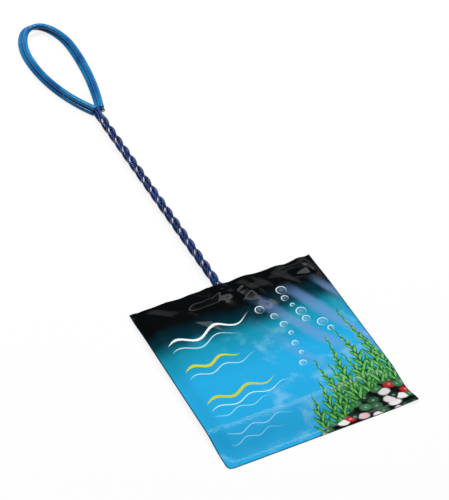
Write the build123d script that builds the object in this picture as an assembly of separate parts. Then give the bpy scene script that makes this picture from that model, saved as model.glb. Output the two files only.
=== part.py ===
"""Aquarium fish net: a twisted wire handle, a hoop with its net, and the film pouch over the net head.

Millimetres. The net lies flat: +Y runs along the handle to the hang loop, +Z is up.
The origin is the middle of the whole object, on the surface that it lies on.
"""
from build123d import *
import os
from math import atan2, ceil, cos, floor, pi, radians, sin, sqrt, tan

# Coated wire
strand_d = 2.4         # outside of the vinyl coat
strand_gap = 0.15      # between strands that lie against each other
wire_sides = 12        # the round section is drawn with this many flats
bend_step = 16.0       # a bend has a section every so many degrees
bend_sag = 0.15        # or closer, so that its flats keep this near the true bend
axis_z = 3.25          # height of the shaft's axis and of the hoop

# Twisted shaft
strands = 3
shaft_visible = 157.0  # from the mouth of the pouch to the base of the loop
shaft_turns = 17 / 3   # every strand ends one place further round at the hoop
untwist = 8.0          # the twist dies out over this length at both ends
spans_per_turn = 6     # each span of a strand is a pair of arcs
shaft_x = -1.5         # the net lies a little off the middle of its pouch

# Hang loop
loop_length = 93.4     # base to tip, outside
head_radius = 13.0     # round end of the loop, at the wire's middle
loop_lean = -3.2       # the round end's middle, off the shaft's axis
turn_shift = 1.6       # the upper turn lies this much beside the lower one
turn_setback = 3.6     # and its round end this much nearer to the shaft
leg_bend = 4.5         # length of the bend at the foot of each leg
leg_fullness = 1.35    # a leg's lean at its foot, over the lean that one plain arc would have
tail_rest = 40.0       # angle at which the tail rests on the strand below it
sleeve_wall = 0.25     # soft sleeve over each turn
sleeve_slack = 0.1     # between the wire and its sleeve

# Hoop
hoop_width = 89.0      # at the wire's middle
hoop_depth = 74.0
hoop_corner = 10.0
neck_depth = 18.0      # near bar of the hoop, behind the mouth of the pouch
neck_bend = 5.0        # bend from the shaft into the near bar

# Hem
hem_wall = 0.45
hem_slack = 0.1        # between the wire and the fabric
hem_flap = 7.0         # sewn flap, from the wire's middle inwards
flap_thickness = 0.8
hem_neck_gap = 7.0     # the hem stops this far from the shaft's axis
hem_sides = 8

# Net bag, folded flat inside the hoop
bag_wall = 0.4
mesh_pitch = 4.4       # the mesh is drawn coarse, with square gaps
mesh_thread = 0.9
bag_inset = 4.6        # from the wire's middle to the outside of the bag
bag_lift = 0.35        # above the pouch's back panel

# Film pouch
pouch_width = 108.0
pouch_length = 120.0
film = 0.25
seal = 2.5             # welded margin along both sides and the bottom
film_slack = 0.4       # between the hem and the film
shoulder_slack = 0.7   # the same beside the hem
crown = 2.4            # rise of the front panel between its shoulders
end_taper = 22.0       # the front panel comes down to the bottom weld over this length
end_height = 0.3       # hollow that is left there

# Where the main places lie along the object
bottom_y = -(pouch_length + shaft_visible + loop_length) / 2
mouth_y = bottom_y + pouch_length
base_y = mouth_y + shaft_visible
tip_y = base_y + loop_length
near_y = mouth_y - neck_depth
far_y = near_y - hoop_depth
neck_y = near_y + neck_bend

strand_r = strand_d / 2
pitch_between = strand_d + strand_gap
sleeve_inner = strand_r + sleeve_slack
sleeve_outer = sleeve_inner + sleeve_wall
hem_inner = strand_r + hem_slack
hem_outer = hem_inner + hem_wall


# Routes of the wire: knots of a point and a direction, joined by pairs of tangent arcs

def knot(point, direction):
    return Vector(*point), Vector(*direction).normalized()


def bend(start, along, end):
    """Arc that leaves start along a direction, or a line where the end lies straight ahead."""
    chord = end - start
    if along.cross(chord).length < 1e-6 * chord.length:
        return Line(start, end)
    return TangentArc(start, end, tangent=along)


def joined(first, second):
    """Edges from one knot to the next: a line, or two arcs that meet at one tangent."""
    p, t = first
    q, u = second
    chord = q - p
    if max(t.cross(chord).length, u.cross(chord).length) < 1e-6 * chord.length:
        return [Line(p, q)]
    turn = 2 * (1 - t.dot(u))
    ahead = chord.dot(t + u)
    if turn < 1e-9:
        reach = chord.dot(chord) / (2 * ahead)
    else:
        reach = (sqrt(ahead**2 + turn * chord.dot(chord)) - ahead) / turn
    a = p + t * reach
    b = q - u * reach
    middle = (a + b) / 2
    return [bend(p, t, middle), bend(middle, (b - a).normalized(), q)]


def arcs(knots):
    return [edge for pair in zip(knots, knots[1:]) for edge in joined(*pair)]


def stations(knots):
    """Point and direction at every section of a run: close together round a bend, apart on a straight."""
    for edge in arcs(knots):
        turn = (edge % 0).get_angle(edge % 1)
        sag = edge.length * radians(turn) / 8
        steps = ceil(max(turn / bend_step, sqrt(sag / bend_sag))) or 1
        for i in range(steps):
            yield edge @ (i / steps), edge % (i / steps)
    yield knots[-1]


def round_run(knots, radius):
    """Solid round rod along its knots."""
    rounds = []
    for point, along in stations(knots):
        upright = Vector(0, 0, 1) - along * along.Z
        rounds.append(Plane(origin=point, x_dir=upright, z_dir=along) * RegularPolygon(radius, wire_sides))
    return loft(rounds, ruled=True)


def wire_run(knots):
    return round_run(knots, strand_r)


# Twisted shaft

shaft_length = base_y - neck_y
twist_rate = 2 * pi * shaft_turns / (shaft_length - untwist)


def closest(radius):
    """Least distance between the middles of two neighbouring strands that wind at this radius."""
    steps = [strand_d * i / 100 for i in range(-100, 101)]
    step_angle = 2 * pi / strands
    return min(
        sqrt(2 * radius**2 * (1 - cos(step_angle + twist_rate * dy)) + dy**2) for dy in steps
    )


def winding_radius():
    low, high = strand_r, 2 * strand_d
    while high - low > 1e-6:
        middle = (low + high) / 2
        low, high = (middle, high) if closest(middle) < pitch_between else (low, middle)
    return high


lay_r = winding_radius()


def twist(s):
    """Angle wound from the hoop's end up to length s, and its rate there."""
    ramp = untwist
    full = twist_rate * (shaft_length - ramp)
    if s < ramp:
        return twist_rate * s**2 / (2 * ramp), twist_rate * s / ramp
    left = shaft_length - s
    if left < ramp:
        return full - twist_rate * left**2 / (2 * ramp), twist_rate * left / ramp
    return twist_rate * (s - ramp / 2), twist_rate


def strand_knot(number, s):
    """A strand's middle at length s: strand 0 comes out on top at the base of the loop."""
    wound, rate = twist(s)
    total = twist(shaft_length)[0]
    angle = 2 * pi * number / strands + wound - total
    point = (shaft_x + lay_r * sin(angle), neck_y + s, axis_z + lay_r * cos(angle))
    return knot(point, (lay_r * cos(angle) * rate, 1, -lay_r * sin(angle) * rate))


def strand_knots(number):
    spans = round(spans_per_turn * shaft_turns)
    return [strand_knot(number, shaft_length * i / spans) for i in range(spans + 1)]


def turned(one_knot):
    point, along = one_knot
    return point, along * -1


# Hang loop: two like turns, the upper one shifted sideways and back

head_y = tip_y - sleeve_outer - head_radius
head_x = shaft_x + loop_lean
lower_z = sleeve_outer
upper_z = lower_z + 2 * sleeve_outer + strand_gap


def head_knots(middle):
    """Round end of a turn, from its left leg to its right leg."""
    return [
        knot(middle - Vector(head_radius, 0, 0), (0, 1, 0)),
        knot(middle + Vector(0, head_radius, 0), (1, 0, 0)),
        knot(middle + Vector(head_radius, 0, 0), (0, -1, 0)),
    ]


def leg_foot(foot, head):
    """Knots of a leg's foot: along the shaft, then bent towards its side and level of the round end."""
    start = foot[0]
    rise = head[0] - start
    lean = 2 * leg_fullness * atan2(rise.X, rise.Y)
    bent = start + Vector(leg_bend * tan(lean / 2), leg_bend, rise.Z)
    return [knot(start, (0, 1, 0)), knot(bent, (sin(lean), cos(lean), 0))]


def loop_knots(left_foot, right_foot, middle):
    head = head_knots(middle)
    right_leg = [turned(k) for k in reversed(leg_foot(right_foot, head[-1]))]
    return leg_foot(left_foot, head[0]) + head + right_leg


foot_top, foot_right, foot_left = (strand_knot(number, shaft_length) for number in range(strands))
tail_side = Vector(cos(radians(tail_rest)), 0, sin(radians(tail_rest))) * pitch_between
tail_foot = (foot_right[0] + tail_side, foot_right[1])
lower_head = Vector(head_x - turn_shift / 2, head_y, lower_z)
upper_head = Vector(head_x + turn_shift / 2, head_y - turn_setback, upper_z)
lower_turn = loop_knots(foot_left, foot_right, lower_head)
upper_turn = loop_knots(foot_top, tail_foot, upper_head)


def make_sleeve(turn):
    """Tube over a turn, between the bends at its two feet."""
    covered = turn[1:-1]
    return round_run(covered, sleeve_outer) - round_run(covered, sleeve_inner)


# Hoop

left_x = shaft_x - hoop_width / 2
right_x = shaft_x + hoop_width / 2
neck_right, neck_left, neck_top = (strand_knot(number, 0) for number in range(strands))


def hoop_frame(start_x, end_x):
    """Knots round the rectangle, from the near bar's left part to its right part."""
    c = hoop_corner
    return [
        knot((start_x, near_y, axis_z), (-1, 0, 0)),
        knot((left_x + c, near_y, axis_z), (-1, 0, 0)),
        knot((left_x, near_y - c, axis_z), (0, -1, 0)),
        knot((left_x, far_y + c, axis_z), (0, -1, 0)),
        knot((left_x + c, far_y, axis_z), (1, 0, 0)),
        knot((right_x - c, far_y, axis_z), (1, 0, 0)),
        knot((right_x, far_y + c, axis_z), (0, 1, 0)),
        knot((right_x, near_y - c, axis_z), (0, 1, 0)),
        knot((right_x - c, near_y, axis_z), (-1, 0, 0)),
        knot((end_x, near_y, axis_z), (-1, 0, 0)),
    ]


hoop_knots = [
    turned(neck_left),
    *hoop_frame(neck_left[0].X - neck_bend, neck_right[0].X + neck_bend),
    neck_right,
]


# Hem: a sleeve round the hoop with a flat flap on its inside

def make_hem():
    knots = hoop_frame(shaft_x - hem_neck_gap, shaft_x + hem_neck_gap)
    tube = RegularPolygon(hem_outer, hem_sides)
    flap = Pos(hem_flap / 2, 0) * Rectangle(hem_flap, flap_thickness)
    start = Plane(origin=knots[0][0], x_dir=(0, -1, 0), z_dir=(-1, 0, 0))
    hollow = RegularPolygon(hem_inner, hem_sides, major_radius=False)
    return sweep(start * (tube + flap - hollow), path=Wire(arcs(knots)))


# Net bag: an open tray of mesh that hangs from the flap

def rounded(inset):
    """Face inside the hoop, this far in from the wire's middle."""
    return RectangleRounded(hoop_width - 2 * inset, hoop_depth - 2 * inset, hoop_corner - inset)


def mesh_gaps(inset):
    """Square gaps, as many as fit inside the hoop, this far in from the wire's middle."""
    across = floor((hoop_width - 2 * inset - mesh_thread) / mesh_pitch)
    along = floor((hoop_depth - 2 * inset - mesh_thread) / mesh_pitch)
    gap = mesh_pitch - mesh_thread
    return GridLocations(mesh_pitch, mesh_pitch, across, along) * Rectangle(gap, gap)


def make_bag():
    low = film + bag_lift
    high = axis_z - flap_thickness / 2
    inner = bag_inset + bag_wall
    ground = extrude(rounded(bag_inset) - mesh_gaps(inner), bag_wall)
    walls = extrude(rounded(bag_inset) - rounded(inner), high - low)
    return Pos(shaft_x, (near_y + far_y) / 2, low) * (ground + walls)


# Pouch

half = pouch_width / 2
shoulder_z = axis_z + hem_outer + film_slack
shoulder_x = abs(shaft_x) + hoop_width / 2 + hem_outer + shoulder_slack


def panel_face(y, height, proud):
    """Hollow under the front panel at y: its height there, grown by a film thickness if proud."""
    top = film + height + proud
    shoulder = film + height * (shoulder_z - film) / (shoulder_z + crown - film) + proud
    foot_x = half - seal + proud
    side_x = shoulder_x + proud
    outline = Polyline((side_x, shoulder), (foot_x, film), (-foot_x, film), (-side_x, shoulder))
    arch = ThreePointArc((-side_x, shoulder), (0, top), (side_x, shoulder))
    flat = make_face(Curve() + [outline, arch])
    return Plane(origin=(0, y, 0), x_dir=(1, 0, 0), z_dir=(0, -1, 0)) * flat


def panel_block(proud, over):
    """Solid under the front panel, from past the mouth by 'over' down to the bottom weld."""
    full = shoulder_z + crown - film
    ends = [
        panel_face(mouth_y + over, full, proud),
        panel_face(bottom_y + end_taper, full, proud),
        panel_face(bottom_y + seal - proud, end_height, proud),
    ]
    return loft(ends, ruled=True)


def margin(width, length, x, y):
    return Pos(x, y, film) * extrude(Rectangle(width, length), film)


def make_front():
    middle_y = bottom_y + pouch_length / 2
    weld_x = half - seal / 2
    welds = margin(seal, pouch_length, weld_x, middle_y) + margin(seal, pouch_length, -weld_x, middle_y)
    welds += margin(pouch_width, seal, 0, bottom_y + seal / 2)
    return welds + panel_block(film, 0) - panel_block(0, seal)


def make_back():
    panel = Rectangle(pouch_width, pouch_length)
    return Pos(0, bottom_y + pouch_length / 2, 0) * extrude(panel, film)


pieces = {
    "hoop_wire": wire_run(hoop_knots),
    "shaft_strand_right": wire_run(strand_knots(0)),
    "shaft_strand_left": wire_run(strand_knots(1)),
    "shaft_strand_return": wire_run(strand_knots(2)),
    "loop_turn_lower": wire_run(lower_turn),
    "loop_turn_upper": wire_run(upper_turn),
    "loop_sleeve_lower": make_sleeve(lower_turn),
    "loop_sleeve_upper": make_sleeve(upper_turn),
    "hem_sleeve": make_hem(),
    "net_bag": make_bag(),
    "pouch_front": make_front(),
    "pouch_back": make_back(),
}

os.makedirs("parts", exist_ok=True)
for name, shape in pieces.items():
    export_step(shape, f"parts/{name}.step")

wire_section = RegularPolygon(strand_r, wire_sides).area
for name, knots in (("hoop_wire", hoop_knots), ("loop_turn_lower", lower_turn), ("shaft_strand_left", strand_knots(1))):
    length = sum(edge.length for edge in arcs(knots))
    print(name, "length", round(length, 1), "volume over section times length",
          round(pieces[name].volume / (wire_section * length), 4))
print("strands wind at radius", round(lay_r, 3))
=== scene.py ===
"""Aquarium fish net: looks of the coated wire, the net and the film pouch over the net head.

Sizes are in millimetres, and become metres where a mesh is made.
"""
from math import atan2, ceil, cos, pi, radians, sin, tan

import bpy
import numpy as np
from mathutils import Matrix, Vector
from mathutils.geometry import delaunay_2d_cdt


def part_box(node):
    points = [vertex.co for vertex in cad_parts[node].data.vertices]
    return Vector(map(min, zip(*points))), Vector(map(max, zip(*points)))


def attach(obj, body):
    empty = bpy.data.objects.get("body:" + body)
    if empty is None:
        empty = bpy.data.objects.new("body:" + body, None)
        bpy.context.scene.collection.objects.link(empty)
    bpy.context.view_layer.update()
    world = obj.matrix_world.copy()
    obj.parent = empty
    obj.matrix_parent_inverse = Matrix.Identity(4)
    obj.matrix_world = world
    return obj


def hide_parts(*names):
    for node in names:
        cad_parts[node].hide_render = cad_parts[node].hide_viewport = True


MM = 0.001

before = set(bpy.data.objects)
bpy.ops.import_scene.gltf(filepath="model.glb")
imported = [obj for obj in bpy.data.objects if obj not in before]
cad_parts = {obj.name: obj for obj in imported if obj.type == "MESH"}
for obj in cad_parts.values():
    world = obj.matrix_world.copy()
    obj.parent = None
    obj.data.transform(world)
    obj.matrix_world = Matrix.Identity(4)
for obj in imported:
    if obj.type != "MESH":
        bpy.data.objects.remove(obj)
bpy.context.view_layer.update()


def node_box(name):
    """Lowest and highest corner of a node, in millimetres."""
    low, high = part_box(name)
    return low / MM, high / MM


# Places read from the frame
pouch_low, pouch_high = node_box("pouch_back")
shaft_low, shaft_high = node_box("shaft_strand_left")
hoop_low, hoop_high = node_box("hoop_wire")
sleeve_low, sleeve_high = node_box("loop_sleeve_lower")
upper_low, upper_high = node_box("loop_sleeve_upper")
hem_low, hem_high = node_box("hem_sleeve")

half = (pouch_high.x - pouch_low.x) / 2
bottom_y, mouth_y = pouch_low.y, pouch_high.y
neck_y, base_y = shaft_low.y, shaft_high.y
tip_y = sleeve_high.y
axis_z = (hem_low.z + hem_high.z) / 2
hem_outer = (hem_high.z - hem_low.z) / 2
shaft_x = (hoop_low.x + hoop_high.x) / 2
sleeve_outer = (sleeve_high.z - sleeve_low.z) / 2
lower_z = (sleeve_low.z + sleeve_high.z) / 2
upper_z = (upper_low.z + upper_high.z) / 2
turn_shift = upper_low.x - sleeve_low.x
head_x = (sleeve_low.x + sleeve_high.x + turn_shift) / 2
head_radius = (sleeve_high.x - sleeve_low.x) / 2 - sleeve_outer
head_y = tip_y - sleeve_outer - head_radius
upper_head_y = upper_high.y - sleeve_outer - head_radius

# Coated wire
strand_r = 1.2
core_r = 0.7           # steel inside the vinyl coat
strands = 3
lay_r = 1.494          # from the shaft's axis to the middle of each strand
shaft_turns = 17 / 3
untwist = 8.0          # the twist dies out over this length at both ends
leg_bend = 4.5         # length of the bend at the foot of each leg
head_swell = 0.7       # each side of the loop stands this much further out than the solids' round end
head_drop = 16.6       # the loop is widest this far below the middle of that round end
head_spans = 4
tail_rest = radians(40)
pitch_between = 2.55   # from the middle of a strand to that of the tail that rests on it
sleeve_inner = 1.3
sleeve_bare = 2.2      # of each leg's foot, below the sleeve's end
sleeve_lip = 0.08      # share by which the sleeve is drawn in at its ends
strand_spans = 60
wire_step = 0.9        # between the rings of the wire's mesh
wire_sides = 20

# Hoop
left_x, right_x = hoop_low.x + strand_r, hoop_high.x - strand_r
far_y = hoop_low.y + strand_r
neck_bend = 5.0
near_y = neck_y - neck_bend
hoop_corner = 10.0

# Hem: a strip of tape folded round the wire, with its two edges sewn together as a flap
hem_neck_gap = 7.0     # the tube stops this far from the shaft's axis, and only the flap runs on
hem_seam = 0.8         # between the two ends of the flap
hem_flap = 7.0
hem_cloth = 0.28
hem_ply = 0.22         # from the flap's middle to the middle of each of its layers
hem_ease = 0.06        # between the tube's outside and that of the solid
hem_bend = hem_outer - hem_cloth / 2 - hem_ease
hem_bend_points = 26
hem_flap_points = 8
hem_weave = 0.55       # from thread to thread
hem_pucker_height = 0.16
hem_pucker_waves = ((1.0, 1.9, 0), (0.7, 0.83, 1), (0.5, 3.1, 2))  # size, rate and start of each
hem_neck_taper = 1.2   # the tube narrows to the flap over this length
hem_neck_edge = strand_r + 0.8         # from the wire's middle to the flap, where the tube has stopped
stitch_rows = (2.6, 6.1)
stitch_pitch = 2.3
stitch_length = 1.6
stitch_arch = np.array([-0.12, 0.04, 0.09, 0.1, 0.09, 0.04, -0.12])  # height over the cloth along a stitch
thread_r = 0.14
thread_sides = 8

# Net: one piece of mesh, sewn into the flap and folded flat inside the hoop
net_inset = 5.6
net_slope = 8.0        # the net comes down from the near bar over this length
net_ground = 1.0       # height of its lowest layer there
net_layers = (0.9, 2.2, 3.4)   # heights of the three layers at the far end
net_folds = (4.0, 34.0, 7.0)   # from the far edge to the two folds, and to where the net rises to the bar
net_lowest = 0.5
net_sewn = 7.0         # margin that rises to the flap at both sides
mesh_cell = 2.0
net_thread = 0.3

# Film pouch
film = 0.1
seal = 2.5             # welded margin along both sides and the bottom
front_step = 0.6       # of the front panel's mesh
back_step = 1.5
pouch_length = mouth_y - bottom_y
hem_top = axis_z + hem_outer
shaft_top = axis_z + lay_r + strand_r
weld_foot = 0.3        # height of the welds at the bottom
weld_flat = 2.0        # length over which they lie level there
weld_drop = 0.1        # of the welds below the hoop's middle
weld_sag = 24.0        # from the mouth down to where the welds hang level
film_ease = 0.45       # between the hem and the film
film_dip = 0.5         # of the film in the middle of the hoop
dip_across = (40.0, 10.0)      # from the middle to where the dip starts and to where it is whole
dip_along = (34.0, 6.0)
film_slack = 0.8       # power of the film's rise from its edges: below 1, it bulges
shoulder = 6.8         # the film is up at the hoop's height this far in from the welds
handle_ease = 0.3      # between the shaft and the film
panel_gap = 0.25       # between the panels at the bottom
front_lowest = 2.2 * film
back_under = 3 * film  # at least this far below the front panel
back_rise = 12.0       # the back panel bends up to the welds within this far from its sides
ridge_width = 3.6      # of the ridge that the shaft presses into the film
ridge_height = 0.5
ridge_lump = 0.12
mouth_band = 9.0       # the cut edge strays over this length
mouth_sag = 3.4        # the front panel's edge hangs back this far in the middle
mouth_sag_length = 18.0
front_setback = 0.4
back_setback = 0.3
mouth_curl = (0.7, 5.0)        # height and reach of the curl at the mouth's left corner
bottom_curl = (1.4, 7.0)       # the same at the bottom's right corner
corner_round = 3.2     # radius of the bottom's left corner
corner_point = (1.2, 0.6)      # how far the right one is drawn out, sideways and down
corner_point_reach = 6.0

# Stage
floor_half = 4000.0
floor_z = -0.05
floor_white = 0.85     # share of plain white in what the camera and the reflections see
floor_paper = ((0.86, 0.86, 0.86), (0.88, 0.88, 0.88))
floor_bounce = (0.3, 0.3, 0.3)         # colour that lights the object from below
world_light = 0.1
lamp_distance = 1400.0

# Camera, fitted to the pouch's corners and the shaft in the photograph
look_x = 15.1
look_up = 145.0        # above the pouch's bottom
camera_distance = 1396.0
camera_turn = radians(26.2)
camera_drop = radians(43.7)
camera_lens = 183.3
camera_sensor = 36.0


# Meshes

def mesh_piece(name, points, faces, materials, uv=None):
    """Object of a mesh given in millimetres, with one UV pair for each point where uv is given."""
    mesh = bpy.data.meshes.new(name)
    mesh.from_pydata((np.asarray(points) * MM).tolist(), [], [tuple(f) for f in faces])
    if uv is not None:
        layer = mesh.uv_layers.new(name="UVMap")
        corners = np.zeros(len(mesh.loops), np.int32)
        mesh.loops.foreach_get("vertex_index", corners)
        layer.data.foreach_set("uv", np.asarray(uv, np.float32)[corners].ravel())
    mesh.update()
    for material in materials:
        mesh.materials.append(material)
    mesh.shade_smooth()
    piece = bpy.data.objects.new(name, mesh)
    bpy.context.scene.collection.objects.link(piece)
    return piece


def applied(piece, kind, **settings):
    """Adds a modifier to a piece and applies it."""
    modifier = piece.modifiers.new(kind.title(), kind)
    for key, value in settings.items():
        setattr(modifier, key, value)
    graph = bpy.context.evaluated_depsgraph_get()
    made = bpy.data.meshes.new_from_object(piece.evaluated_get(graph))
    piece.modifiers.clear()
    piece.data = made
    return piece


def grid_faces(rows, columns, wrap=False, first=0):
    """Quads between rows of points, closed round each row if wrap is set."""
    last = columns if wrap else columns - 1
    for i in range(rows - 1):
        for j in range(last):
            k = (j + 1) % columns
            a, b = first + i * columns, first + (i + 1) * columns
            yield a + j, a + k, b + k, b + j


def along_route(route):
    """Distance run at each point, and the unit direction there."""
    steps = np.linalg.norm(np.diff(route, axis=0), axis=1)
    run = np.concatenate([[0], np.cumsum(steps)])
    ways = np.gradient(route, axis=0)
    return run, ways / np.linalg.norm(ways, axis=1)[:, None]


def carried_frames(route):
    """Two axes square to the route at each point, carried along it without twisting."""
    ways = along_route(route)[1]
    side = np.array([0.0, 0.0, 1.0])
    sides = []
    for way in ways:
        side = side - way * side.dot(way)
        side = side / np.linalg.norm(side)
        sides.append(side)
    sides = np.array(sides)
    return sides, np.cross(ways, sides)


def rings(route, radius, sides):
    """Points of a round tube: one ring for each point of the route."""
    across, over = carried_frames(route)
    angles = np.linspace(0, 2 * pi, sides, endpoint=False)[None, :, None]
    circle = np.cos(angles) * across[:, None] + np.sin(angles) * over[:, None]
    return route[:, None] + circle * radius


# Route of the wire: knots of a point and a direction, joined by smooth curves

def knot(point, direction):
    return Vector(point), Vector(direction).normalized()


def curve_between(first, second):
    """Points from one knot to the next, without the last, on a cubic that is close to a circle's arc."""
    p, t = first
    q, u = second
    chord = (q - p).length
    handle = chord / (3 * cos(t.angle(u) / 4) ** 2)
    a, b = p + t * handle, q - u * handle
    count = max(2, ceil(chord / wire_step))
    for i in range(count):
        s = i / count
        yield (1 - s) ** 3 * p + 3 * s * (1 - s) ** 2 * a + 3 * s**2 * (1 - s) * b + s**3 * q


def through(knots):
    points = [point for pair in zip(knots, knots[1:]) for point in curve_between(*pair)]
    return np.array(points + [knots[-1][0]])


def turned(one_knot):
    return one_knot[0], -one_knot[1]


shaft_length = base_y - neck_y
twist_rate = 2 * pi * shaft_turns / (shaft_length - untwist)


def twist(s):
    """Angle still to wind from length s to the base of the loop, and the rate of twist there."""
    full = twist_rate * (shaft_length - untwist)
    left = shaft_length - s
    if s < untwist:
        return twist_rate * s**2 / (2 * untwist) - full, twist_rate * s / untwist
    if left < untwist:
        return -twist_rate * left**2 / (2 * untwist), twist_rate * left / untwist
    return twist_rate * (s - untwist / 2) - full, twist_rate


def strand_knot(number, s):
    wound, rate = twist(s)
    angle = 2 * pi * number / strands + wound
    point = (shaft_x + lay_r * sin(angle), neck_y + s, axis_z + lay_r * cos(angle))
    return knot(point, (lay_r * cos(angle) * rate, 1, -lay_r * sin(angle) * rate))


def strand_knots(number):
    return [strand_knot(number, shaft_length * i / strand_spans) for i in range(strand_spans + 1)]


def leg_foot(foot, head):
    """A leg's foot: along the shaft, then bent towards its side and level of the round end."""
    start = foot[0]
    rise = head[0] - start
    lean = 2 * atan2(rise.x, rise.y)
    bent = start + Vector((leg_bend * tan(lean / 2), leg_bend, rise.z))
    return [knot(start, (0, 1, 0)), knot(bent, (sin(lean), cos(lean), 0))]


def head_knots(middle):
    """Far end of a turn: half an ellipse, from its left leg to its right leg."""
    spread, reach = head_radius + head_swell, head_radius + head_drop
    start = middle - Vector((0, head_drop, 0))
    for i in range(head_spans + 1):
        angle = pi * i / head_spans
        place = start + Vector((-spread * cos(angle), reach * sin(angle), 0))
        yield knot(place, (spread * sin(angle), reach * cos(angle), 0))


def loop_knots(left_foot, right_foot, middle):
    head = list(head_knots(middle))
    right_leg = [turned(k) for k in reversed(leg_foot(right_foot, head[-1]))]
    return leg_foot(left_foot, head[0]) + head + right_leg


foot_top, foot_right, foot_left = (strand_knot(number, shaft_length) for number in range(strands))
tail_side = Vector((cos(tail_rest), 0, sin(tail_rest))) * pitch_between
tail_foot = (foot_right[0] + tail_side, foot_right[1])
lower_turn = loop_knots(foot_left, foot_right, Vector((head_x - turn_shift / 2, head_y, lower_z)))
upper_turn = loop_knots(foot_top, tail_foot, Vector((head_x + turn_shift / 2, upper_head_y, upper_z)))
neck_right, neck_left = strand_knot(0, 0), strand_knot(1, 0)


def hoop_frame(start_x, end_x):
    """Knots round the hoop, from the near bar's left part to its right part."""
    c = hoop_corner
    return [
        knot((start_x, near_y, axis_z), (-1, 0, 0)),
        knot((left_x + c, near_y, axis_z), (-1, 0, 0)),
        knot((left_x, near_y - c, axis_z), (0, -1, 0)),
        knot((left_x, far_y + c, axis_z), (0, -1, 0)),
        knot((left_x + c, far_y, axis_z), (1, 0, 0)),
        knot((right_x - c, far_y, axis_z), (1, 0, 0)),
        knot((right_x, far_y + c, axis_z), (0, 1, 0)),
        knot((right_x, near_y - c, axis_z), (0, 1, 0)),
        knot((right_x - c, near_y, axis_z), (-1, 0, 0)),
        knot((end_x, near_y, axis_z), (-1, 0, 0)),
    ]


def whole_wire():
    """Knots of the one wire, from its end at the neck to its tail at the base of the loop."""
    hoop = hoop_frame(neck_left[0].x - neck_bend, neck_right[0].x + neck_bend)
    down = [turned(k) for k in reversed(strand_knots(1))]
    return strand_knots(2)[:-1] + lower_turn[:-1] + down + hoop + strand_knots(0)[:-1] + upper_turn


# Materials

class Field:
    """A number in a material's nodes. Arithmetic on it adds nodes."""

    def __init__(self, tree, socket):
        self.tree = tree
        self.socket = socket

    def math(self, operation, *others):
        node = self.tree.nodes.new("ShaderNodeMath")
        node.operation = operation
        for slot, value in zip(node.inputs, (self, *others)):
            if isinstance(value, Field):
                self.tree.links.new(value.socket, slot)
            else:
                slot.default_value = value
        return Field(self.tree, node.outputs[0])

    def __add__(self, other):
        return self.math("ADD", other)

    def __sub__(self, other):
        return self.math("SUBTRACT", other)

    def __mul__(self, other):
        return self.math("MULTIPLY", other)

    def __abs__(self):
        return self.math("ABSOLUTE")

    def __truediv__(self, other):
        return self.math("DIVIDE", other)

    def sine(self):
        return self.math("SINE")

    def root(self):
        return self.math("SQRT")

    def larger(self, other):
        return self.math("MAXIMUM", other)

    def smaller(self, other):
        return self.math("MINIMUM", other)

    def rise(self, low, high, top=1.0):
        """From 0 at low to top at high, smoothly; low may be the larger."""
        node = self.tree.nodes.new("ShaderNodeMapRange")
        node.interpolation_type = "SMOOTHSTEP"
        node.inputs["From Min"].default_value = low
        node.inputs["From Max"].default_value = high
        node.inputs["To Max"].default_value = top
        self.tree.links.new(self.socket, node.inputs["Value"])
        return Field(self.tree, node.outputs[0])


class Finish:
    """A material of one glossy or rough surface, with helpers for its node tree."""

    def __init__(self, name, **shader):
        self.material = bpy.data.materials.new(name)
        self.material.use_nodes = True
        self.tree = self.material.node_tree
        self.shader = self.tree.nodes["Principled BSDF"]
        for key, value in shader.items():
            self.shader.inputs[key.replace("_", " ")].default_value = value
        self.place = self.node("ShaderNodeTexCoord").outputs["Object"]

    def node(self, kind, **inputs):
        node = self.tree.nodes.new(kind)
        for key, value in inputs.items():
            node.inputs[key].default_value = value
        return node

    def link(self, source, target):
        self.tree.links.new(source.socket if isinstance(source, Field) else source, target)

    def uv(self, width, length):
        """The place on a flat sheet of this size, in millimetres, as two fields."""
        split = self.node("ShaderNodeSeparateXYZ")
        self.link(self.node("ShaderNodeUVMap").outputs[0], split.inputs[0])
        return Field(self.tree, split.outputs[0]) * width, Field(self.tree, split.outputs[1]) * length

    def noise(self, size, detail=3.0):
        """Noise from 0 to 1 with features of about this size in millimetres."""
        node = self.node("ShaderNodeTexNoise", Scale=1 / (size * MM), Detail=detail)
        self.link(self.place, node.inputs["Vector"])
        return Field(self.tree, node.outputs["Fac"])

    def mix(self, factor, a, b):
        """Colour between a and b, each a colour or a socket."""
        node = self.node("ShaderNodeMix")
        node.data_type = "RGBA"
        self.link(factor, node.inputs["Factor"])
        for slot, value in ((node.inputs[6], a), (node.inputs[7], b)):
            if isinstance(value, tuple):
                slot.default_value = (*value, 1)
            else:
                self.link(value, slot)
        return node.outputs[2]

    def colour(self, source):
        self.link(source, self.shader.inputs["Base Color"])

    def rough(self, field, low, high):
        spread = self.node("ShaderNodeMapRange", **{"To Min": low, "To Max": high})
        self.link(field, spread.inputs["Value"])
        self.link(spread.outputs[0], self.shader.inputs["Roughness"])

    def bump(self, field, depth):
        """Relief of a field, this deep in millimetres."""
        node = self.node("ShaderNodeBump", Strength=1.0, Distance=depth * MM)
        self.link(field, node.inputs["Height"])
        self.link(node.outputs[0], self.shader.inputs["Normal"])


def srgb(*levels):
    """Colour given as it looks on a screen, from 0 to 255, as the light it sends back."""
    shares = [level / 255 for level in levels]
    return tuple(s / 12.92 if s < 0.04 else ((s + 0.055) / 1.055) ** 2.4 for s in shares)


def vinyl_finish():
    made = Finish("navy_vinyl", Specular_IOR_Level=0.3, Coat_Weight=0.3, Coat_Roughness=0.1)
    cloud = made.noise(9, 4)
    made.colour(made.mix(cloud.rise(0.35, 0.7), srgb(0, 32, 82), srgb(2, 46, 114)))
    made.rough(made.noise(1.2), 0.11, 0.18)
    made.bump(made.noise(0.9, 2), 0.002)
    return made.material


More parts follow.
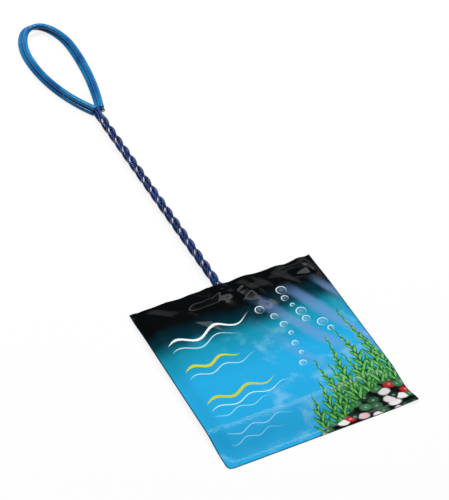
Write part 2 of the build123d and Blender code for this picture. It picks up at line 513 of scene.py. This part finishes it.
def steel_finish():
    made = Finish("cut_steel", Metallic=1.0)
    made.colour(made.mix(made.noise(0.3), srgb(120, 120, 124), srgb(190, 190, 192)))
    made.rough(made.noise(0.2), 0.3, 0.5)
    return made.material


def sleeve_finish():
    made = Finish("blue_sleeve", Specular_IOR_Level=0.25)
    cloud = made.noise(16, 3)
    made.colour(made.mix(cloud.rise(0.35, 0.65), srgb(6, 84, 156), srgb(20, 122, 178)))
    made.rough(made.noise(2.5), 0.14, 0.22)
    made.bump(made.noise(6, 2), 0.004)
    return made.material


def hem_finish():
    made = Finish("hem_tape", Sheen_Weight=0.25, Sheen_Roughness=0.5)
    u, v = made.uv(hem_length, hem_strip)
    weave_and_shade = (u * (2 * pi / hem_weave)).sine() * (v * (2 * pi / hem_weave)).sine()
    # Colour follows the weave's relief: painted shade in its hollows, painted highlight on the raised
    # threads
    made.colour(made.mix(weave_and_shade.rise(-0.7, 0.9), srgb(18, 44, 118), srgb(52, 96, 186)))
    made.rough(made.noise(2.0), 0.6, 0.85)
    made.bump(weave_and_shade, 0.06)
    return made.material


def net_finish():
    made = Finish("net_nylon", Sheen_Weight=0.2)
    cloud = made.noise(5, 3)
    made.colour(made.mix(cloud.rise(0.3, 0.7), srgb(44, 104, 190), srgb(96, 156, 222)))
    made.rough(made.noise(0.6), 0.4, 0.65)
    made.bump(made.noise(0.18, 2), 0.03)
    return made.material


def thread_finish():
    made = Finish("stitch_thread", Sheen_Weight=0.3)
    u, v = made.uv(2.0, 1.0)
    lay_and_shade = (u * (2 * pi / 0.3) + v * 6).sine()
    # Colour follows the twist's relief: painted shade in its grooves, painted highlight on the raised plies
    made.colour(made.mix(lay_and_shade.rise(-0.8, 0.8), srgb(150, 176, 216), srgb(214, 228, 244)))
    made.rough(made.noise(0.4), 0.5, 0.7)
    made.bump(lay_and_shade, 0.03)
    return made.material


def film_finish(name):
    made = Finish(name, Specular_IOR_Level=0.055, IOR=1.45)
    made.rough(made.noise(8, 3), 0.07, 0.14)
    return made


def water_colours(made, height, cloud):
    """Black at the mouth, through teal to bright blue below; height is above the bottom."""
    level = height + (cloud - 0.5) * 14
    deep = made.mix(level.rise(90, 77), srgb(4, 46, 58), srgb(22, 140, 168))
    deep = made.mix(level.rise(102, 88), srgb(7, 9, 11), deep)
    return made.mix(level.rise(82, 52), deep, srgb(38, 166, 220))


def painted_waves(made, x, y, colour):
    """Wave ribbons over the left half."""
    # Height at the left, swell, length, thickness, reach and colour
    ribbons = [
        (86, 2.6, 23, 1.5, 62, srgb(240, 246, 248)),
        (80, 2.3, 23, 0.7, 50, srgb(190, 222, 232)),
        (66, 1.8, 17, 1.8, 44, srgb(206, 206, 44)),
        (60, 1.5, 17, 0.6, 52, srgb(176, 226, 242)),
        (41, 1.9, 19, 1.8, 54, srgb(196, 204, 40)),
        (35, 1.5, 19, 0.6, 60, srgb(190, 232, 246)),
        (30, 1.2, 15, 0.45, 46, srgb(150, 214, 240)),
        (17, 1.2, 15, 0.45, 50, srgb(150, 214, 240)),
        (12, 1.0, 13, 0.4, 42, srgb(140, 208, 238)),
    ]
    for level, swell, length, thick, reach, tint in ribbons:
        crest = (x * (2 * pi / length) + level).sine() * swell + x * 0.06 + level
        taper = x.rise(6, 14) * x.rise(reach, reach * 0.55)
        ribbon = abs(y - crest) - taper * (thick / 2)
        colour = made.mix(ribbon.rise(0.2, -0.1) * taper.rise(0.05, 0.3), colour, tint)
    return colour


def painted_light(made, x, y, colour):
    """Pale slanting shafts of light and drifting haze in the water at the right."""
    slant = (x * 0.34 + y * 0.16 + made.noise(22, 2) * 3).sine()
    place = x.rise(50, 82) * y.rise(28, 58) * y.rise(104, 88)
    colour = made.mix(slant.rise(-0.4, 1.0, 0.55) * place, colour, srgb(112, 150, 206))
    haze = made.noise(11, 5).rise(0.5, 0.72, 0.4)
    return made.mix(haze * y.rise(92, 60) * x.rise(8, 50), colour, srgb(150, 206, 236))


def painted_bubbles(made, x, y, colour):
    """Two strings of bubbles: rings with a lit side."""
    pick = np.random.default_rng(4)
    for string in range(2):
        for step in range(7):
            rise = step / 6
            middle_x = (64, 84)[string] + 5 * sin(3.3 * rise + 2 * string) + pick.uniform(-2.5, 2.5)
            middle_y = (46, 62)[string] + (44, 36)[string] * rise
            radius = pick.uniform(0.9, 2.8)
            dx, dy = x - middle_x, y - middle_y
            away = (dx * dx + dy * dy).root()
            rim = abs(away - radius).rise(0.45, 0.1) + away.rise(radius, 0, 0.25)
            side = (dx * -0.5 + dy) / radius
            colour = made.mix(rim.smaller(1.0) * side.rise(-1.6, 0.9), colour, srgb(206, 234, 250))
    return colour


def painted_weed(made, x, y, colour):
    """Fronds that rise from the bottom, the far ones first."""
    # Where it stands, its height, width and sway
    fronds = [
        (101, 74, 7.4, -1.6), (83, 58, 7.0, 1.6), (92, 64, 8.0, 1.8), (58, 24, 5.6, 1.0),
        (73, 46, 6.6, 1.4), (105, 52, 7.6, -1.0), (79, 40, 7.0, -1.8), (88, 44, 8.0, 1.2),
        (66, 31, 6.4, -0.8), (97, 40, 8.0, 0.9), (71, 25, 6.6, 1.0), (83, 28, 7.0, -1.0),
        (103, 28, 7.4, 0.8),
    ]
    fleck = made.noise(1.6, 4)
    for number, (stand, height, width, sway) in enumerate(fronds):
        stem = (y * 0.11 + number * 1.7).sine() * sway + stand
        off = x - stem
        spread = abs(off)
        side = off.rise(-0.05, 0.05)
        leaf = ((y - spread * 1.5) * (2 * pi / 6.4) + side * pi + number).sine() * 0.42 + 0.58
        reach = y.rise(height, height * 0.25) * leaf * width
        leaves = (spread - reach).rise(0.12, -0.12)
        stalk = spread.rise(0.55, 0.35)
        shape = leaves.larger(stalk) * y.rise(height, height - 2)
        light = (leaf + fleck * 0.9 - spread / width * 0.5).rise(0.35, 1.5)
        tint = made.mix(light, srgb(4, 40, 22), srgb(64, 154, 66))
        tint = made.mix(light.rise(0.72, 1.0, 0.7), tint, srgb(136, 204, 120))
        colour = made.mix(shape, colour, tint)
    return colour


def painted_pebbles(made, x, y, colour):
    """Gravel bank at the lower right: dark, green-grey, white and red stones."""
    uneven = made.noise(9, 3)
    bank = x.rise(50, 104, 15) + uneven * 9 - 2.5
    stones = made.node("ShaderNodeTexVoronoi", Scale=0.26)
    stones.voronoi_dimensions = "2D"
    flat = made.node("ShaderNodeCombineXYZ")
    made.link(x * 0.62 + y * 0.2, flat.inputs[0])
    made.link(y, flat.inputs[1])
    made.link(flat.outputs[0], stones.inputs["Vector"])
    hue = made.node("ShaderNodeSeparateColor")
    made.link(stones.outputs["Color"], hue.inputs[0])
    sort, shade = Field(made.tree, hue.outputs[0]), Field(made.tree, hue.outputs[1])
    middle = Field(made.tree, stones.outputs["Distance"])
    tint = made.mix(shade, srgb(14, 40, 30), srgb(76, 140, 96))
    tint = made.mix(sort.rise(0.62, 0.64), tint, srgb(186, 44, 44))
    tint = made.mix(sort.rise(0.8, 0.82), tint, srgb(232, 226, 226))
    tint = made.mix(middle.rise(0.4, 0.62), tint, srgb(4, 14, 14))
    tint = made.mix(middle.rise(0.2, 0.0, 0.4), tint, srgb(236, 240, 240))
    return made.mix((y - bank).rise(0.4, -0.4) * x.rise(48, 56), colour, tint)


def edge_line(made, x, y, colour):
    """The cut and welded edges look darker."""
    side = x.smaller(x * -1 + 2 * half)
    line = side.rise(0.9, 0.3, 0.75).larger(y.rise(0.8, 0.2, 0.5))
    return made.mix(line, colour, srgb(6, 34, 48))


def front_print():
    """Printed side: dark water above, bright below, with waves, light, bubbles, weed and pebbles."""
    made = film_finish("printed_film")
    x, y = made.uv(2 * half, pouch_length)
    colour = water_colours(made, y, made.noise(26, 3))
    for paint in (painted_light, painted_waves, painted_bubbles, painted_weed, painted_pebbles, edge_line):
        colour = paint(made, x, y, colour)
    made.colour(colour)
    made.bump(made.noise(1.0, 2), 0.01)
    return made.material


def back_print():
    made = film_finish("plain_film")
    x, y = made.uv(2 * half, pouch_length)
    made.colour(edge_line(made, x, y, water_colours(made, y, made.noise(26, 3))))
    made.bump(made.noise(1.0, 2), 0.01)
    return made.material


# Wire and sleeves

def make_wire(vinyl, steel):
    """The one wire, with its steel core at both cut ends."""
    route = through(whole_wire())
    body = rings(route, strand_r, wire_sides)
    count = len(route)
    cores = [route[i] + (body[i] - route[i]) * (core_r / strand_r) for i in (0, count - 1)]
    points = np.concatenate([body.reshape(-1, 3), *cores, route[[0, -1]]])
    faces = list(grid_faces(count, wire_sides, wrap=True))
    core_start = count * wire_sides
    ends = ((0, core_start), (core_start - wire_sides, core_start + wire_sides))
    discs = []
    for side, (outer, inner) in enumerate(ends):
        middle = core_start + 2 * wire_sides + side
        for j in range(wire_sides):
            k = (j + 1) % wire_sides
            ring = (outer + k, outer + j, inner + j, inner + k)
            disc = (inner + k, inner + j, middle)
            faces.append(ring if side == 0 else ring[::-1])
            discs.append(disc if side == 0 else disc[::-1])
    wire = mesh_piece("coated_wire", points, faces + discs, [vinyl, steel])
    for polygon in wire.data.polygons[len(faces):]:
        polygon.material_index = 1
    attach(wire, "net")
    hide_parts("hoop_wire", "shaft_strand_right", "shaft_strand_left", "shaft_strand_return",
                "loop_turn_lower", "loop_turn_upper")


def make_sleeve(name, turn, finish):
    """Soft tube over a turn of the loop, open at both ends."""
    route = through(turn)
    run = along_route(route)[0]
    route = route[(run > sleeve_bare) & (run < run[-1] - sleeve_bare)]
    outer = rings(route, sleeve_outer, wire_sides)
    inner = rings(route, sleeve_inner, wire_sides)[::-1]
    ends = [0, -1]
    middles = route[ends][:, None]
    outer[ends] = middles + (outer[ends] - middles) * (1 - sleeve_lip)
    points = np.concatenate([outer, inner]).reshape(-1, 3)
    rows = 2 * len(route)
    faces = list(grid_faces(rows, wire_sides, wrap=True))
    last = (rows - 1) * wire_sides
    for j in range(wire_sides):
        k = (j + 1) % wire_sides
        faces.append((last + j, last + k, k, j))
    sleeve = mesh_piece(name, points, faces, [finish])
    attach(sleeve, "net")
    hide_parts(name.replace("grip", "loop_sleeve"))


# Hem, stitches and net

def smooth(value, low, high):
    """From 0 at low to 1 at high, with soft ends; low may be the larger."""
    t = np.clip((value - low) / (high - low), 0, 1)
    return t * t * (3 - 2 * t)


def hem_section():
    """Middle of the hem's cloth from edge to edge of the strip: distance inwards, and height."""
    gap = np.arcsin(hem_ply / hem_bend)
    turn = np.linspace(-gap, gap - 2 * pi, hem_bend_points)
    start = hem_bend * cos(gap)
    flap = np.linspace(hem_flap, start, hem_flap_points)[:-1]
    inwards = np.concatenate([flap, hem_bend * np.cos(turn), flap[::-1]])
    height = np.concatenate([0 * flap - hem_ply, hem_bend * np.sin(turn), 0 * flap + hem_ply])
    return inwards, height


def hem_pucker(run, inwards):
    """How far the sewn cloth is drawn up and down along the hoop."""
    pull = smooth(inwards, 0, hem_flap)
    waves = sum(size * np.sin(run * rate + start) for size, rate, start in hem_pucker_waves)
    return hem_pucker_height * pull * waves


hem_route = through(hoop_frame(shaft_x - hem_seam / 2, shaft_x + hem_seam / 2))
hem_run, hem_ways = along_route(hem_route)
hem_in = np.stack([-hem_ways[:, 1], hem_ways[:, 0], 0 * hem_ways[:, 0]], axis=1)
hem_length = hem_run[-1]
hem_strip = np.hypot(*np.diff(hem_section())).sum()


def make_hem(finish):
    """Tape folded round the hoop. Near the shaft it lies flat, as a flap without a tube."""
    inwards, height = hem_section()
    from_end = np.minimum(hem_run, hem_length - hem_run)[:, None]
    neck = smooth(from_end, hem_neck_gap, hem_neck_gap - hem_neck_taper)
    swell = 1 + 0.03 * np.sin(hem_run * 1.9)[:, None] + 0.02 * np.sin(hem_run * 0.7)[:, None]
    height = height * np.where(inwards < hem_bend, swell, 1)
    height = height * (1 - neck) + np.clip(height, -hem_ply, hem_ply) * neck
    inside = inwards * (1 - neck) + np.maximum(inwards, hem_neck_edge) * neck
    points = hem_route[:, None] + inside[..., None] * hem_in[:, None]
    points[..., 2] += height + hem_pucker(hem_run[:, None], inside)
    rows, columns = points.shape[:2]
    across = np.concatenate([[0], np.cumsum(np.hypot(*np.diff(hem_section())))]) / hem_strip
    u, v = np.meshgrid(hem_run / hem_length, across, indexing="ij")
    uv = np.stack([u, v], axis=-1).reshape(-1, 2)
    hem = mesh_piece("hem_tape", points.reshape(-1, 3), grid_faces(rows, columns), [finish], uv)
    applied(hem, "SOLIDIFY", thickness=hem_cloth * MM, offset=0)
    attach(hem, "net")
    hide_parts("hem_sleeve")


def stitch_line(middle, inwards, side):
    """Middle of one stitch: it comes up through the cloth, lies on it and goes down again."""
    run = middle + np.linspace(-0.5, 0.5, len(stitch_arch)) * stitch_length
    place = np.stack([np.interp(run, hem_run, hem_route[:, k]) for k in range(3)], axis=1)
    inside = np.stack([np.interp(run, hem_run, hem_in[:, k]) for k in range(3)], axis=1)
    place += inside * inwards
    place[:, 2] += hem_pucker(run, inwards) + side * (hem_ply + hem_cloth / 2 + stitch_arch)
    return place


def make_stitches(finish):
    """Two rows of sewing along the flap, on both of its faces."""
    sides, length = thread_sides, len(stitch_arch)
    points, faces, uv = [], [], []
    for inwards in stitch_rows:
        for side in (-1, 1):
            for middle in np.arange(stitch_pitch, hem_length - stitch_pitch, stitch_pitch):
                line = stitch_line(middle, inwards, side)
                tube = rings(line, thread_r, sides)
                first = len(points)
                points.extend(tube.reshape(-1, 3))
                faces.extend(grid_faces(length, sides, wrap=True, first=first))
                faces.append(tuple(range(first + sides - 1, first - 1, -1)))
                faces.append(tuple(range(first + (length - 1) * sides, first + length * sides)))
                uv.extend((i / (length - 1), j / sides) for i in range(length) for j in range(sides))
    stitches = mesh_piece("hem_stitches", points, faces, [finish], uv)
    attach(stitches, "net")


def net_profile():
    """The folded net from the near bar to the far bar: along the ground, back, and over itself."""
    near, far = near_y - net_inset, far_y + net_inset
    low, middle, top = net_layers
    first_fold, second_fold, rise = (far + place for place in net_folds)
    return through([
        knot((0, near, axis_z), (0, -1, -0.35)),
        knot((0, near - net_slope, net_ground), (0, -1, 0)),
        knot((0, first_fold, low), (0, -1, 0)),
        knot((0, first_fold, middle), (0, 1, 0)),
        knot((0, second_fold, middle), (0, 1, 0)),
        knot((0, second_fold, top), (0, -1, 0)),
        knot((0, rise, top), (0, -1, 0)),
        knot((0, far, axis_z), (0, -1, -0.1)),
    ])


def make_net(finish):
    """Diamond mesh: rows of points, every other one shifted by half a cell."""
    profile = net_profile()
    run = along_route(profile)[0]
    width = right_x - left_x - 2 * net_inset
    columns, rows = ceil(width / mesh_cell), ceil(run[-1] / (mesh_cell / 2))
    row, column = np.meshgrid(np.arange(rows + 1), np.arange(columns + 1), indexing="ij")
    x = ((column + 0.5 * (row % 2)) / (columns + 0.5) - 0.5) * width
    length = run[-1] * row / rows
    y = np.interp(length, run, profile[:, 1])
    z = np.interp(length, run, profile[:, 2])
    ripple = 0.3 * np.sin(0.21 * x + 0.09 * y)
    ripple += 0.22 * np.sin(0.13 * y - 0.31 * x + 2)
    ripple += 0.12 * np.sin(0.5 * x + 0.2 * length)
    z += ripple
    y += 0.8 * np.sin(0.16 * x + 0.05 * length)
    sewn = smooth(abs(x), width / 2 - net_sewn, width / 2)
    z = np.maximum(z * (1 - sewn) + axis_z * sewn, net_lowest)
    x += shaft_x + 0.5 * np.sin(0.3 * length) * (1 - sewn)
    points = np.stack([x, y, z], axis=-1).reshape(-1, 3)
    across = columns + 1
    faces = []
    for r in range(1, rows):
        shift = r % 2
        for c in range(columns - shift):
            left, middle = r * across + c, c + shift
            faces.append((left, (r - 1) * across + middle, left + 1, (r + 1) * across + middle))
    net = mesh_piece("net_mesh", points, faces, [finish])
    applied(net, "WIREFRAME", thickness=net_thread * MM, use_even_offset=False, use_boundary=True)
    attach(net, "net")
    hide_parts("net_bag")
    covered = 1 - (1 - net_thread / (mesh_cell / 2**0.5)) ** 2
    flat = width * MM, run[-1] * MM
    flat[0] * flat[1] * covered


# Film pouch

def fold(x, down, start, end, height, width):
    """Crease between two places on the film: a ridge with straight flanks that dies out at its ends."""
    (x0, d0), (x1, d1) = start, end
    length = np.hypot(x1 - x0, d1 - d0)
    along = ((x - x0) * (x1 - x0) + (down - d0) * (d1 - d0)) / length
    off = ((x - x0) * (d1 - d0) - (down - d0) * (x1 - x0)) / length
    ends = smooth(along, -width, width) * smooth(along, length + width, length - width)
    return height * np.clip(1 - abs(off) / width, 0, 1) * ends


def scattered_folds(x, down, count, reach, size, height, seed):
    """Creases of random place, length and height in a band below the mouth."""
    pick = np.random.default_rng(seed)
    total = np.zeros_like(x)
    for _ in range(count):
        middle = np.array([pick.uniform(-half, half), pick.uniform(*reach)])
        angle = pick.uniform(0, pi)
        arm = np.array([cos(angle), sin(angle)]) * pick.uniform(*size) / 2
        lift = pick.uniform(*height) * pick.choice((-1, 1))
        width = pick.uniform(0.25, 0.5) * np.linalg.norm(arm)
        total += fold(x, down, middle - arm, middle + arm, lift, width)
    return total


def weld_height(down):
    """The welded sides hang at the hoop's level, and come down to the surface below its far bar."""
    level = axis_z - weld_drop - smooth(down, weld_sag, 0)
    return weld_foot + (level - weld_foot) * smooth(down, pouch_length - weld_flat, mouth_y - far_y)


def crushed(x, down, depth, spacing, height, seed):
    """Flat facets of random tilt from the mouth down to a depth, as crushed film has."""
    pick = np.random.default_rng(seed)
    columns, rows = ceil(2 * half / spacing) + 3, ceil(depth / spacing) + 3
    spots = np.stack(np.meshgrid(np.arange(columns), np.arange(rows)), axis=-1).reshape(-1, 2) - 1.0
    spots = (spots + pick.uniform(-0.42, 0.42, spots.shape)) * spacing - (half, 0)
    lifts = pick.uniform(0, height, len(spots)) * smooth(spots[:, 1], depth, depth * 0.5)
    lift = np.zeros_like(x)
    for face in delaunay_2d_cdt([Vector(s) for s in spots], [], [], 0, 1e-4)[2]:
        a, b, c = (spots[i] for i in face)
        area = np.cross(b - a, c - a)
        to_b = ((x - a[0]) * (c - a)[1] - (down - a[1]) * (c - a)[0]) / area
        to_c = ((b - a)[0] * (down - a[1]) - (b - a)[1] * (x - a[0])) / area
        inside = (to_b >= 0) & (to_c >= 0) & (to_b + to_c <= 1)
        value = lifts[face[0]] * (1 - to_b - to_c) + lifts[face[1]] * to_b + lifts[face[2]] * to_c
        lift = np.where(inside, value, lift)
    return lift


def corner(x, down, at_x, at_down, size):
    return np.exp(-((x - at_x) ** 2 + (down - at_down) ** 2) / size**2)


def corner_curl(x, down):
    """The film curls up at the mouth's left corner and at the bottom's right one."""
    at_mouth = mouth_curl[0] * corner(x, down, -half, 0, mouth_curl[1])
    return at_mouth + bottom_curl[0] * corner(x, down, half, pouch_length, bottom_curl[1])


def shaped_corners(x, y):
    """Rounds the bottom's left corner, and draws the right one out to a point."""
    in_x, in_y = corner_round - (x + half), corner_round - (y - bottom_y)
    away = np.maximum(np.hypot(in_x, in_y), 1e-6)
    pull = np.minimum(1, np.maximum(in_x, in_y) / away)
    pull = np.where((in_x > 0) & (in_y > 0), pull, 1)
    x = np.where(pull < 1, corner_round - half - in_x * pull, x)
    y = np.where(pull < 1, corner_round + bottom_y - in_y * pull, y)
    point = corner(x, mouth_y - y, half, pouch_length, corner_point_reach)
    return x + corner_point[0] * point, y - corner_point[1] * point


def front_height(x, down):
    """Height of the front film: over the hoop, down to the welds and up over the handle."""
    y = mouth_y - down
    sides = weld_height(down)
    in_from_edge = half - seal - abs(x)
    over_hoop = smooth(in_from_edge, -seal, shoulder)
    from_middle = abs(y - (near_y + far_y) / 2)
    dip = film_dip * smooth(abs(x), *dip_across) * smooth(from_middle, *dip_along)
    plateau = hem_top + film_ease - dip
    handle = shaft_top + handle_ease
    tent = np.clip(1 - abs(x - shaft_x) / (half - seal), 0, 1)
    over_mouth = sides + (handle - sides) * tent**film_slack
    near_mouth = smooth(y, near_y - 3, mouth_y)
    height = sides + (plateau - sides) * over_hoop
    height = height * (1 - near_mouth) + over_mouth * near_mouth
    foot = smooth(y, bottom_y + seal, far_y - 2) ** film_slack
    height = film + panel_gap + (height - film - panel_gap) * foot
    lumps = ridge_lump * np.sin(2 * pi * down * strands * shaft_turns / shaft_length)
    ridge = np.exp(-((x - shaft_x) / ridge_width) ** 2) * smooth(y, near_y - 6, neck_y + 2)
    return height + ridge * (ridge_height + lumps)


def crumple(x, down):
    """Creases: sharp ones in the band at the mouth, long faint ones below."""
    # Where it starts and ends, across and down from the mouth; height and width
    creases = [
        ((7.5, 5), (15, 27), 1.1, 5.5),
        ((15, 27), (34, 8), 0.7, 7),
        ((20, 2), (27, 22), -0.7, 6),
        ((34, 6), (52, 13), 0.8, 5),
        ((38, -2), (30, 16), -0.5, 5),
        ((-9, -4), (-14, 15), 0.5, 4),
        ((-30, 4), (-20, 20), -0.45, 6),
        ((-46, 3), (-34, 17), 0.5, 5),
    ]
    total = sum(fold(x, down, *crease) for crease in creases)
    total += crushed(x, down, depth=40, spacing=8.5, height=1.3, seed=11)
    total += scattered_folds(x, down, count=16, reach=(30, 115), size=(24, 60), height=(0.1, 0.25), seed=5)
    free = smooth(half - abs(x), seal * 0.6, seal * 0.6 + 6) * smooth(pouch_length - down, seal, seal + 10)
    return total * free


def film_grid(step):
    columns = ceil(2 * half / step) + 1
    rows = ceil(pouch_length / step) + 1
    x, down = np.meshgrid(np.linspace(-half, half, columns), np.linspace(pouch_length, 0, rows))
    return x, down


def film_piece(name, x, y, z, finish):
    """Thin closed sheet from a grid of points."""
    rows, columns = x.shape
    flat_x, flat_y = np.meshgrid(np.linspace(0, 1, columns), np.linspace(0, 1, rows))
    points = np.stack([x, y, z], axis=-1).reshape(-1, 3)
    uv = np.stack([flat_x, flat_y], axis=-1).reshape(-1, 2)
    piece = mesh_piece(name, points, grid_faces(rows, columns), [finish], uv)
    applied(piece, "SOLIDIFY", thickness=film * MM, offset=-1)
    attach(piece, "pouch")
    return piece


def mouth_edge(x, seed):
    """How far the cut edge at the mouth strays from a straight line."""
    pick = np.random.default_rng(seed)
    waves = [(pick.uniform(0.08, 0.22), pick.uniform(0.15, 0.7), pick.uniform(0, 6)) for _ in range(7)]
    return sum(size * np.sin(rate * x + start) for size, rate, start in waves)


def make_front(finish):
    """Printed panel, draped over the net head and the shaft."""
    x, down = film_grid(front_step)
    near_edge = smooth(down, mouth_band, 0)
    z = front_height(x, down) + crumple(x, down) + corner_curl(x, down)
    sag = mouth_sag * (1 - (x / half) ** 2) * smooth(down, mouth_sag_length, 0)
    y = mouth_y - down + mouth_edge(x, seed=3) * near_edge - front_setback * near_edge - sag
    x, y = shaped_corners(x, y)
    front = film_piece("pouch_front_film", x, y, np.maximum(z, front_lowest), finish)
    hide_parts("pouch_front")


def make_back(finish):
    """Plain panel under the net head, bent up to the welds at both sides."""
    x, down = film_grid(back_step)
    near_edge = smooth(down, mouth_band, 0)
    z = weld_height(down) * smooth(abs(x), half - back_rise, half - seal)
    z = np.minimum(z, front_height(x, down) - back_under) + corner_curl(x, down)
    y = mouth_y - down + mouth_edge(x, seed=8) * near_edge - back_setback * near_edge
    x, y = shaped_corners(x, y)
    back = film_piece("pouch_back_film", x, y, np.maximum(z, 0) + film, finish)
    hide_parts("pouch_back")


# Stage

def make_floor():
    """Pale floor: white where it is seen or mirrored, and a dull grey for the light that it throws back."""
    finish = Finish("floor", Roughness=0.9, Specular_IOR_Level=0.0)
    tree = finish.tree
    rays = finish.node("ShaderNodeLightPath").outputs
    seen = Field(tree, rays["Is Camera Ray"]).larger(Field(tree, rays["Is Glossy Ray"]))
    seen = seen.larger(Field(tree, rays["Is Transmission Ray"]))
    paper = finish.mix(finish.noise(60), *floor_paper)
    finish.colour(finish.mix(seen, floor_bounce, paper))
    glow = finish.node("ShaderNodeEmission", Strength=1.0)
    both = finish.node("ShaderNodeMixShader")
    finish.link(seen * floor_white, both.inputs[0])
    finish.link(finish.shader.outputs[0], both.inputs[1])
    finish.link(glow.outputs[0], both.inputs[2])
    finish.link(both.outputs[0], tree.nodes["Material Output"].inputs[0])
    signs = ((-1, -1), (1, -1), (1, 1), (-1, 1))
    corners = [(floor_half * a, floor_half * b, floor_z) for a, b in signs]
    floor = mesh_piece("floor", corners, [(0, 1, 2, 3)], [finish.material])


def soft_light(name, way, width, height, brightness):
    """Flat lamp that shines at the object from a direction, with the brightness of its own surface."""
    lamp = bpy.data.lights.new(name, "AREA")
    lamp.shape = "RECTANGLE"
    lamp.size, lamp.size_y = width * MM, height * MM
    lamp.energy = brightness * pi * lamp.size * lamp.size_y
    piece = bpy.data.objects.new(name, lamp)
    piece.location = Vector(way).normalized() * lamp_distance * MM
    piece.rotation_euler = (-Vector(way)).to_track_quat("-Z", "Y").to_euler()
    bpy.context.scene.collection.objects.link(piece)


def light_scene():
    scene = bpy.context.scene
    scene.view_settings.view_transform = "Standard"
    world = bpy.data.worlds.new("studio")
    scene.world = world
    world.use_nodes = True
    sky = world.node_tree.nodes["Background"].inputs
    sky["Color"].default_value = (1, 1, 1, 1)
    sky["Strength"].default_value = world_light
    soft_light("key", way=(0.04, 0.38, 0.925), width=2000, height=260, brightness=15.2)
    soft_light("back", way=(0.39, 0.83, 0.39), width=1500, height=480, brightness=1.2)
    soft_light("fill", way=(0.5, -0.1, 0.86), width=1300, height=1300, brightness=0.8)


def place_camera():
    """Camera at the photograph's angle."""
    target = Vector((look_x, bottom_y + look_up, 0)) * MM
    level = cos(camera_drop)
    way = Vector((sin(camera_turn) * level, cos(camera_turn) * level, -sin(camera_drop)))
    data = bpy.data.cameras.new("camera")
    data.sensor_width = camera_sensor
    data.lens = camera_lens
    camera = bpy.data.objects.new("camera", data)
    camera.location = target - way * camera_distance * MM
    camera.rotation_euler = way.to_track_quat("-Z", "Y").to_euler()
    bpy.context.scene.collection.objects.link(camera)
    bpy.context.scene.camera = camera


place_camera()
light_scene()
make_floor()
make_wire(vinyl_finish(), steel_finish())
sleeve_look = sleeve_finish()
make_sleeve("grip_lower", lower_turn, sleeve_look)
make_sleeve("grip_upper", upper_turn, sleeve_look)
make_hem(hem_finish())
make_stitches(thread_finish())
make_net(net_finish())
make_front(front_print())
make_back(back_print())
